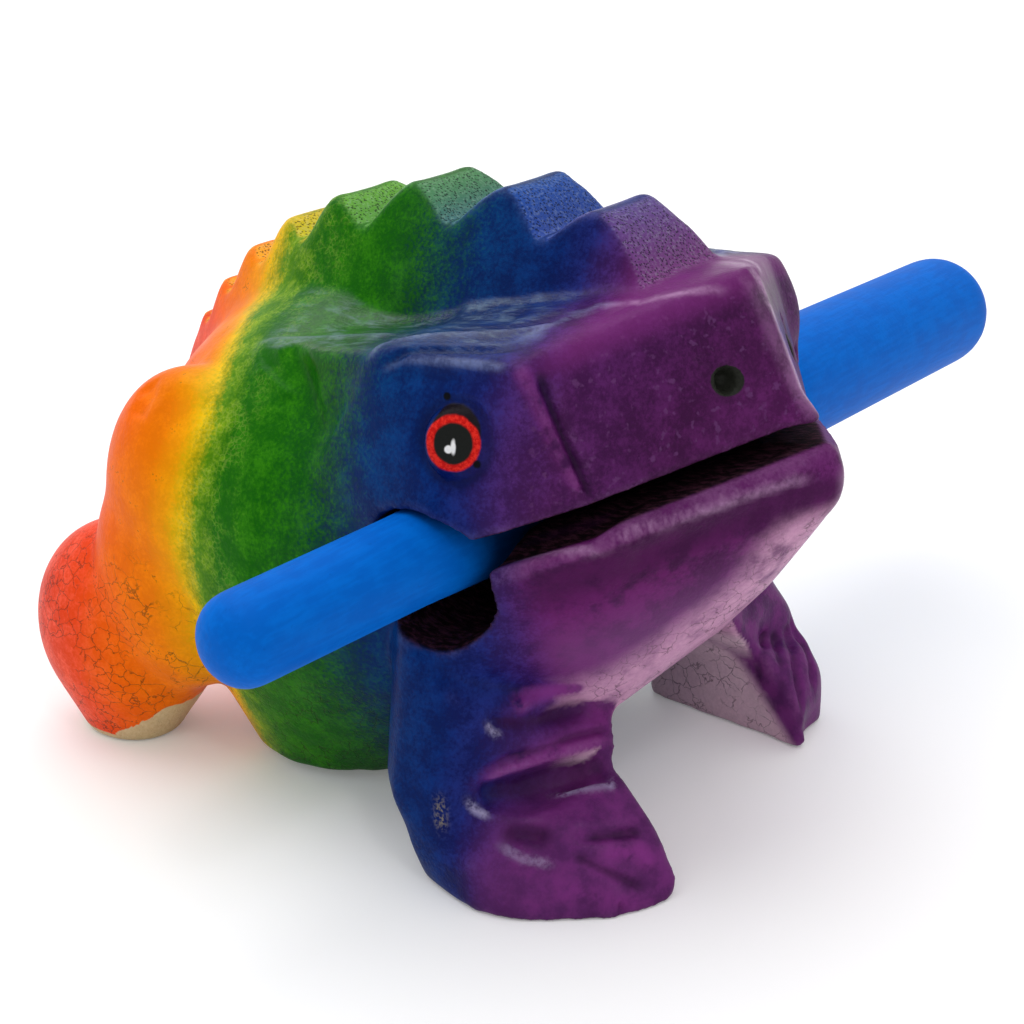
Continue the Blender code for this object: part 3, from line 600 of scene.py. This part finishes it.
rainbow_paint, sh, surface = new_paint("rainbow_paint")
object_place = sh.node("ShaderNodeTexCoord").outputs["Object"]
place = sh.vector("MULTIPLY", sh.vector("SUBTRACT", object_place, tuple(frog_middle)),
                  (1.0 / millimetre,) * 3)
split = sh.node("ShaderNodeSeparateXYZ")
sh.join(place, split.inputs[0])
side_x, along_y, up_z = split.outputs
both_sides = sh.node("ShaderNodeCombineXYZ")
sh.join(sh.math("ABSOLUTE", side_x), both_sides.inputs[0])
sh.join(along_y, both_sides.inputs[1])
sh.join(up_z, both_sides.inputs[2])

cloud = sh.noise(place, 0.06, 3.0)
blotch = sh.noise(place, 0.30, 4.0, 0.6)
speck = sh.noise(place, 2.2, 3.0, 0.65)
grain = sh.noise(sh.vector("MULTIPLY", place, (1.0, 1.0, 0.25)), 2.4, 3.0, 0.6)


def uneven(source, amount):
    """A drift to both sides of nothing."""
    return sh.math("MULTIPLY", sh.math("SUBTRACT", source, 0.5), amount)


def mottled(finer, share):
    """The blotches with a share of another noise on top."""
    return sh.math("ADD", blotch, sh.math("MULTIPLY", finer, share))


# Higher up, the warm bands lie further back; where two sprays met, fine specks of both lie side by side
lag = sh.times(sh.step(up_z, 47.0, 60.0), sh.step(along_y, 5.0, 30.0), -8.0)
haunch_top = sh.times(sh.step(up_z, 42.0, 54.0), sh.step(along_y, 22.0, 30.0), 4.0,
                      sh.math("SUBTRACT", 1.0, sh.mask("crest")))
position = sh.math("ADD", sh.math("ADD", along_y, lag), haunch_top)
meeting = sh.times(sh.step(position, -16.0, -6.0), sh.fade(position, 4.0, 14.0))
position = sh.math("ADD", position, uneven(cloud, 5.0))
position = sh.math("ADD", position, uneven(blotch, 2.4))
position = sh.math("ADD", position, sh.math("MULTIPLY", uneven(speck, 16.0),
                                            sh.math("MULTIPLY_ADD", meeting, 0.8, 0.17)))
half_length = 52.0
nose_to_rump = sh.math("DIVIDE", sh.math("ADD", position, half_length), 2.0 * half_length, clamp=True)


def stop(millimetres, *shade):
    """A colour at a place along the frog, from minus to plus half its length."""
    return (millimetres + half_length) / (2.0 * half_length), colour(*shade)


deep_bands = sh.ramp(nose_to_rump, [
    stop(-46.0, 74, 22, 74), stop(-38.0, 58, 16, 60), stop(-29.0, 64, 20, 72), stop(-25.5, 52, 24, 84),
    stop(-22.0, 14, 22, 86), stop(-18.5, 0, 26, 88), stop(-8.0, 0, 36, 92), stop(-3.5, 4, 50, 60),
    stop(0.5, 12, 80, 18), stop(6.0, 14, 92, 0), stop(13.5, 22, 98, 0), stop(16.8, 84, 136, 8),
    stop(19.2, 218, 172, 4), stop(21.0, 236, 146, 0), stop(24.0, 238, 120, 0), stop(32.0, 242, 98, 0),
    stop(38.0, 234, 70, 18), stop(46.0, 224, 62, 36)])
light_bands = sh.ramp(nose_to_rump, [
    stop(-46.0, 104, 38, 104), stop(-38.0, 84, 28, 86), stop(-29.0, 88, 34, 98), stop(-25.5, 80, 42, 116),
    stop(-22.0, 36, 44, 122), stop(-18.5, 4, 46, 120), stop(-8.0, 0, 60, 120), stop(-3.5, 18, 78, 80),
    stop(0.5, 36, 102, 34), stop(6.0, 42, 122, 4), stop(13.5, 54, 132, 6), stop(16.8, 132, 166, 28),
    stop(19.2, 246, 200, 12), stop(21.0, 250, 172, 4), stop(24.0, 252, 140, 0), stop(32.0, 254, 116, 8),
    stop(38.0, 250, 92, 52), stop(46.0, 250, 100, 80)])
patches = sh.math("ADD", sh.math("MULTIPLY", blotch, 0.6), sh.math("MULTIPLY", speck, 0.4))
patchy = sh.step(patches, 0.40, 0.66)
paint = sh.mix(patchy, deep_bands, light_bands)


def cover(share, strength, shade):
    """The paint so far with a colour over it."""
    return sh.mix(sh.math("MULTIPLY", share, strength), paint, shade)


# Nose and jaw: dull spots on the snout, a brighter upper border, and painted shade as a dark band under the
# lip
purple = sh.fade(along_y, -30.0, -25.0)
magenta = sh.times(purple, sh.step(sh.math("ADD", sh.math("MULTIPLY", cloud, 0.6),
                                           sh.math("MULTIPLY", blotch, 0.8)), 0.60, 0.80),
                   sh.fade(up_z, 42.0, 48.0))
paint = cover(magenta, 0.6, colour(120, 34, 112))
foot = sh.times(sh.fade(along_y, -27.0, -23.0), sh.fade(up_z, 12.0, 24.0))
paint = cover(foot, 0.55, sh.mix(blotch, colour(78, 30, 88), colour(128, 62, 134)))
spots = sh.times(sh.step(sh.noise(place, 0.95, 2.0), 0.60, 0.72), sh.step(up_z, 44.0, 50.0), purple)
paint = cover(spots, 0.5, colour(104, 60, 112))
border = sh.times(sh.step(sh.math("SUBTRACT", up_z,
                                  sh.math("MULTIPLY", sh.math("ABSOLUTE", side_x), -0.22)), 66.0, 69.0),
                  purple)
paint = cover(border, 0.6, colour(124, 44, 120))
below_lip = sh.math("MULTIPLY_ADD", along_y, 0.42, up_z)
throat = sh.times(purple, sh.fade(below_lip, 15.0, 24.0), sh.step(up_z, 18.0, 23.0))
paint = cover(throat, 0.65, colour(126, 70, 128))
# Painted shade: a dark band under the lip
shade_under_lip = sh.times(purple, sh.step(below_lip, 21.5, 26.0), sh.fade(below_lip, 28.4, 29.2),
                     sh.fade(up_z, 46.6, 49.0))
paint = cover(shade_under_lip, 0.75, colour(62, 14, 62))
on_lip = sh.times(purple, sh.step(below_lip, 28.6, 29.4), sh.fade(below_lip, 31.5, 32.5))
paint = cover(on_lip, 0.5, colour(104, 34, 104))

# Under the keel and inside the feet the spray is thin and lilac
thin = sh.math("MULTIPLY", sh.mask("thin_paint"), sh.step(mottled(cloud, 0.4), 0.30, 0.75))
paint = cover(thin, 0.85, sh.mix(speck, colour(190, 132, 174), colour(230, 182, 208)))
foot_inside = sh.times(sh.mask("thin_paint"), sh.fade(up_z, 14.0, 17.0))
paint = cover(foot_inside, 0.75, sh.mix(speck, colour(196, 168, 182), colour(236, 212, 220)))

# Painted shade darkens hollows, groove floors and cut lines; painted highlights lighten the raised strips to
# magenta, pale the worn edges a little (partly real wear), and lay glints and pale rims
paint = cover(sh.mask("hollow_shade"), 0.45, sh.mix(0.7, paint, colour(12, 6, 18)))
paint = cover(sh.mask("groove_floor_shade"), 0.8, colour(52, 12, 56))
lit_ridges = sh.math("MULTIPLY", sh.mask("lit_ridges"), sh.step(blotch, 0.30, 0.5))
paint = cover(lit_ridges, 0.7, colour(136, 52, 134))
lit_ridges = sh.math("MULTIPLY", sh.mask("worn_and_lit_edge"), sh.step(mottled(speck, 0.5), 0.5, 1.0))
paint = cover(lit_ridges, 0.07, colour(210, 186, 206))
glint = sh.math("MULTIPLY", sh.mask("glint"), sh.step(mottled(speck, 0.5), 0.55, 0.85))
paint = cover(glint, 0.8, colour(176, 168, 202))
paint = cover(sh.mask("cut_shade"), 0.6, sh.mix(0.75, paint, colour(14, 8, 26)))
pale = sh.math("MULTIPLY", sh.mask("highlight_line"), sh.step(mottled(speck, 0.3), 0.30, 0.80))
paint = cover(pale, 0.6, sh.mix(purple, colour(142, 158, 200), colour(206, 158, 204)))

# In the trough the lacquer lies in wrinkles; the paint there is darker, and pale streaks on the wrinkles are
# painted reflections
trough = sh.mask("trough")
wrinkle = sh.noise(sh.vector("MULTIPLY", place, (1.0, 0.28, 1.0)), 0.75, 5.0, 0.7)
paint = cover(trough, 0.25, sh.mix(0.6, paint, colour(4, 10, 24)))
wrinkle_reflection = sh.times(trough, sh.step(wrinkle, 0.46, 0.72), sh.step(cloud, 0.3, 0.5))
paint = cover(wrinkle_reflection, 0.42, colour(132, 156, 172))

# Fine dark crackle on rump, belly, throat and inner feet, and a paler net where green meets yellow
broken = sh.step(sh.noise(place, 0.16, 3.0, 0.6), 0.40, 0.52)
crack = sh.times(sh.cracks(place, 0.52, 1.4, 0.045), broken, sh.mask("crackled"))
paint = cover(crack, 0.8, sh.mix(0.72, paint, colour(28, 22, 14)))
net_place = sh.times(sh.step(position, 9.0, 14.0), sh.fade(position, 18.0, 21.0), sh.step(up_z, 8.0, 16.0))
net = sh.times(sh.cracks(place, 1.5, 0.8, 0.16), net_place, sh.step(blotch, 0.40, 0.58))
paint = cover(net, 0.13, colour(206, 214, 110))

# Pinholes, most of them in the open end grain on the crest's slopes, where the paint is paler
end_grain = sh.mask("end_grain")
pits = sh.node("ShaderNodeTexVoronoi", feature="F1")
sh.join(place, pits.inputs["Vector"])
pits.inputs["Scale"].default_value = 2.5
pit = sh.fade(sh.math("ADD", pits.outputs["Distance"], uneven(speck, 0.6)), 0.22, 0.42)
pit = sh.times(pit, sh.math("MAXIMUM", end_grain,
                            sh.times(sh.step(blotch, 0.60, 0.66), sh.step(along_y, 20.0, 24.0), 0.6)))
unblurred = sh.math("DIVIDE", sh.math("ADD", along_y, half_length), 2.0 * half_length, clamp=True)
paler_bands = sh.ramp(unblurred, [
    stop(-30.0, 120, 58, 122), stop(-23.0, 102, 74, 142), stop(-18.0, 64, 80, 162),
    stop(-11.0, 40, 84, 172), stop(-5.0, 66, 110, 150), stop(1.0, 86, 140, 104), stop(8.0, 100, 162, 78),
    stop(16.0, 112, 176, 60), stop(22.0, 226, 206, 40), stop(30.0, 250, 180, 40)])
paler_bands = sh.mix(sh.math("MULTIPLY", sh.step(speck, 0.45, 0.75), 0.22), paler_bands,
                      colour(206, 222, 222))
paint = cover(end_grain, 0.75, paler_bands)
paint = cover(pit, 0.95, sh.mix(0.8, paint, colour(8, 14, 26)))

# Inside the mouth and the bore: painted shade, dark and rough
inside = sh.mask("inside")
rough_grain = sh.noise(sh.vector("MULTIPLY", place, (1.0, 0.35, 1.0)), 1.6, 4.0, 0.7)
paint = sh.mix(inside, paint, sh.mix(sh.step(rough_grain, 0.42, 0.66), colour(18, 8, 14),
                                     colour(64, 34, 48)))

# Knocks: bare hind soles, and a scuff on the right front leg's heel
sole = sh.math("MAXIMUM", sh.mask("bare_sole"), sh.times(sh.fade(up_z, 0.0, 2.6),
                                                          sh.step(along_y, 24.0, 30.0)))
bare = sh.step(sh.math("ADD", sole, uneven(blotch, 0.7)), 0.42, 0.58)
paint = sh.mix(bare, paint, sh.mix(grain, colour(232, 214, 172), colour(198, 172, 124)))
scuff = sh.math("MULTIPLY", sh.mask("chipped"), sh.step(speck, 0.46, 0.60))
paint = sh.mix(scuff, paint, sh.mix(blotch, colour(150, 138, 112), colour(96, 92, 88)))

# The eyes: black, red and a dab of white, brushed on the dome
eye_out = Vector(eye_facing).normalized()
eye_across = Vector((0.0, 0.0, 1.0)).cross(eye_out).normalized()
eye_up = eye_out.cross(eye_across)
from_centre = sh.vector("SUBTRACT", both_sides.outputs[0], eye_middle)
eye_x = sh.vector("DOT_PRODUCT", from_centre, tuple(eye_across))
eye_y = sh.vector("DOT_PRODUCT", from_centre, tuple(eye_up))
eye_depth = sh.vector("DOT_PRODUCT", from_centre, tuple(eye_out))
on_dome = sh.math("LESS_THAN", sh.math("ABSOLUTE", eye_depth), 4.0)
wobble = uneven(sh.noise(place, 0.7, 2.0), 0.35)


def disc(centre_x, centre_y, wide, high, soft=0.14):
    """A brushed round patch, 1 inside and 0 outside."""
    across = sh.math("DIVIDE", sh.math("SUBTRACT", eye_x, centre_x), wide)
    upward = sh.math("DIVIDE", sh.math("SUBTRACT", eye_y, centre_y), high)
    length = sh.math("SQRT", sh.math("ADD", sh.math("MULTIPLY", across, across),
                                     sh.math("MULTIPLY", upward, upward)))
    length = sh.math("ADD", length, sh.math("DIVIDE", wobble, wide))
    patch = sh.fade(length, 1.0 - soft / wide, 1.0 + soft / wide)
    return sh.math("MULTIPLY", patch, on_dome)


paint = sh.mix(sh.math("MULTIPLY", disc(0.0, -0.2, 4.0, 4.6, 0.5), 0.5), paint, colour(2, 16, 74))
paint = sh.mix(disc(-0.2, 1.0, 2.7, 3.1), paint, colour(24, 18, 24))
paint = sh.mix(disc(0.05, 0.0, 2.95, 3.0), paint,
               sh.mix(sh.step(speck, 0.4, 0.6), colour(190, 18, 16), colour(226, 44, 34)))
paint = sh.mix(disc(0.0, 0.0, 2.12, 2.2), paint, colour(26, 28, 26))
paint = sh.mix(disc(0.5, -0.62, 0.42, 0.42, 0.1), paint, colour(238, 238, 238))
paint = sh.mix(disc(-0.05, -0.35, 0.26, 0.66, 0.1), paint, colour(238, 238, 238))
paint = sh.mix(disc(1.2, 4.7, 0.42, 0.42), paint, colour(2, 4, 10))
paint = sh.mix(disc(-2.55, -2.1, 0.42, 0.45), paint, colour(2, 4, 10))

# Black paint in the nostrils
in_nostril = sh.step(sh.math("ADD", sh.mask("nostril"), uneven(blotch, 0.5)), 0.3, 0.6)
paint = sh.mix(in_nostril, paint, sh.mix(speck, colour(14, 14, 12), colour(48, 50, 44)))

sh.join(paint, surface.inputs["Base Color"])
polished = sh.math("MAXIMUM", trough, sh.math("MAXIMUM", sh.mask("highlight_line"), sh.mask("glint")))
gloss = sh.math("MULTIPLY_ADD", blotch, 0.25, 0.24)
gloss = sh.math("MULTIPLY_ADD", inside, 0.4, gloss, clamp=True)
sh.join(gloss, surface.inputs["Roughness"])
surface.inputs["Specular IOR Level"].default_value = 0.03
surface.inputs["Coat Roughness"].default_value = 0.14
dull = sh.math("SUBTRACT", 1.0, inside)
sh.join(sh.times(sh.math("MULTIPLY_ADD", polished, 0.4, 0.05), dull), surface.inputs["Coat Weight"])
height = sh.math("MULTIPLY_ADD", sh.noise(place, 0.5, 4.0, 0.6), 0.5, sh.math("MULTIPLY", speck, 0.24))
height = sh.math("ADD", height, sh.times(wrinkle, trough, 1.2))
height = sh.math("ADD", height, sh.times(rough_grain, inside, 1.6))
height = sh.math("SUBTRACT", height, sh.math("MULTIPLY", crack, 0.4))
height = sh.math("SUBTRACT", height, sh.math("MULTIPLY", pit, 0.35))
uneven_skin = sh.bump(height, 0.4, 0.0007, surface)
sh.join(uneven_skin, surface.inputs["Coat Normal"])
frog.data.materials.clear()
frog.data.materials.append(rainbow_paint)

# Stick. A turned dowel of the same wood with rounded ends, dipped in satin blue paint.
# The solid from the frame is remeshed and its faces are sanded round.
stick = bpy.data.objects.new("turned_stick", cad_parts["stick"].data.copy())
bpy.context.scene.collection.objects.link(stick)
on_all(stick, bpy.ops.mesh.remove_doubles, threshold=0.000001)
finish_modifier(stick, "REMESH", mode="VOXEL", voxel_size=0.6 * millimetre)
finish_modifier(stick, "SMOOTH", factor=0.5, iterations=8)
bpy.ops.object.shade_smooth()
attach(stick, "root")
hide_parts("stick")

blue_paint, sh, surface = new_paint("stick_blue_paint")
stick_place = sh.node("ShaderNodeTexCoord").outputs["Object"]
place = sh.vector("MULTIPLY", stick_place, (1.0 / millimetre,) * 3)
long_grain = sh.vector("MULTIPLY", place, (0.12, 1.0, 1.0))
blotch = sh.noise(place, 0.25, 4.0, 0.6)
grain = sh.noise(long_grain, 1.6, 3.0, 0.6)
speck = sh.noise(place, 1.6, 3.0, 0.6)
blue = sh.mix(sh.step(sh.math("ADD", sh.math("MULTIPLY", blotch, 0.5), sh.math("MULTIPLY", grain, 0.5)),
                      0.40, 0.62),
              colour(0, 96, 196), colour(0, 106, 208))
blue = sh.mix(sh.math("MULTIPLY", sh.step(speck, 0.66, 0.74), 0.3), blue, colour(0, 62, 152))
blue = sh.mix(sh.math("MULTIPLY", sh.step(grain, 0.68, 0.78), 0.15), blue, colour(0, 70, 164))
# Painted shade: the stick is darker where it lies inside the frog's bore
across = sh.node("ShaderNodeSeparateXYZ")
sh.join(place, across.inputs[0])
from_middle = sh.math("ABSOLUTE", sh.math("ADD", across.outputs[0], 18.75))
bore_shade = sh.fade(sh.math("ADD", from_middle, sh.math("MULTIPLY", blotch, 3.0)), 25.0, 30.0)
blue = sh.mix(sh.math("MULTIPLY", bore_shade, 0.8), blue, colour(0, 26, 66))
sh.join(blue, surface.inputs["Base Color"])
sh.join(sh.math("MULTIPLY_ADD", blotch, 0.2, 0.40), surface.inputs["Roughness"])
surface.inputs["Specular IOR Level"].default_value = 0.04
sh.bump(sh.math("ADD", sh.math("MULTIPLY", grain, 0.6), sh.math("MULTIPLY", speck, 0.4)), 0.3, 0.0003,
        surface)
stick.data.materials.clear()
stick.data.materials.append(blue_paint)

# Floor. A white paper sweep, large enough that its edge never shows.
bpy.ops.object.select_all(action="DESELECT")
bpy.ops.mesh.primitive_plane_add(size=6.0, location=(0.0, 0.0, 0.0))
floor = bpy.context.object
floor.name = "floor"
paper, sh, surface = new_paint("white_paper")
surface.inputs["Base Color"].default_value = (0.93, 0.93, 0.93, 1.0)
surface.inputs["Roughness"].default_value = 0.9
surface.inputs["Specular IOR Level"].default_value = 0.0
surface.inputs["Emission Color"].default_value = (1.0, 1.0, 1.0, 1.0)
sh.join(sh.math("MULTIPLY", sh.seen(), 0.13), surface.inputs["Emission Strength"])
floor.data.materials.append(paper)

# Soft studio light: a bright tent overhead, a broad lamp above and a little behind, a small one for glints
sky = bpy.data.worlds.new("tent")
bpy.context.scene.world = sky
sky.use_nodes = True
sh = Shader(sky.node_tree)
background = sky.node_tree.nodes["Background"]
background.inputs["Color"].default_value = (1.0, 1.0, 1.0, 1.0)
direction = sh.node("ShaderNodeSeparateXYZ")
sh.join(sh.node("ShaderNodeTexCoord").outputs["Generated"], direction.inputs[0])
glow = sh.math("MULTIPLY_ADD", sh.step(direction.outputs[2], 0.0, 0.9), 0.45, 0.40)
sh.join(sh.math("MAXIMUM", glow, sh.seen()), background.inputs["Strength"])

for name, energy, angle, towards in (("broad_lamp", 1.3, 60.0, (0.1, 0.4, 1.0)),
                                     ("glint_lamp", 0.15, 6.0, (-0.3, -0.5, 0.8))):
    lamp = bpy.data.lights.new(name, "SUN")
    lamp.energy = energy
    lamp.angle = math.radians(angle)
    lamp_holder = bpy.data.objects.new(name, lamp)
    bpy.context.scene.collection.objects.link(lamp_holder)
    lamp_holder.rotation_euler = Vector(towards).to_track_quat("Z", "Y").to_euler()

# Camera, where the photographer stood
turn, lift, tilt = (math.radians(angle) for angle in (-54.5, 22.5, -0.27))
back = Vector((math.sin(turn) * math.cos(lift), -math.cos(turn) * math.cos(lift), math.sin(lift)))
level_right = Vector((math.cos(turn), math.sin(turn), 0.0))
level_up = back.cross(level_right)
camera_right = level_right * math.cos(tilt) + level_up * math.sin(tilt)
camera_up = level_up * math.cos(tilt) - level_right * math.sin(tilt)
distance = 0.227
focal_pixels = 1800.0
picture_pixels = 1024.0
spot = frog_middle + Vector((0.0, -0.0058, 0.0329)) + back * distance
lens = bpy.data.cameras.new("camera")
lens.sensor_width = 36.0
lens.lens = 36.0 * focal_pixels / picture_pixels
lens.clip_start = 0.005
camera = bpy.data.objects.new("camera", lens)
bpy.context.scene.collection.objects.link(camera)
camera_turn = Matrix((camera_right, camera_up, back)).transposed().to_4x4()
camera.matrix_world = Matrix.Translation(spot) @ camera_turn
bpy.context.scene.camera = camera
bpy.context.scene.view_settings.view_transform = "Standard"
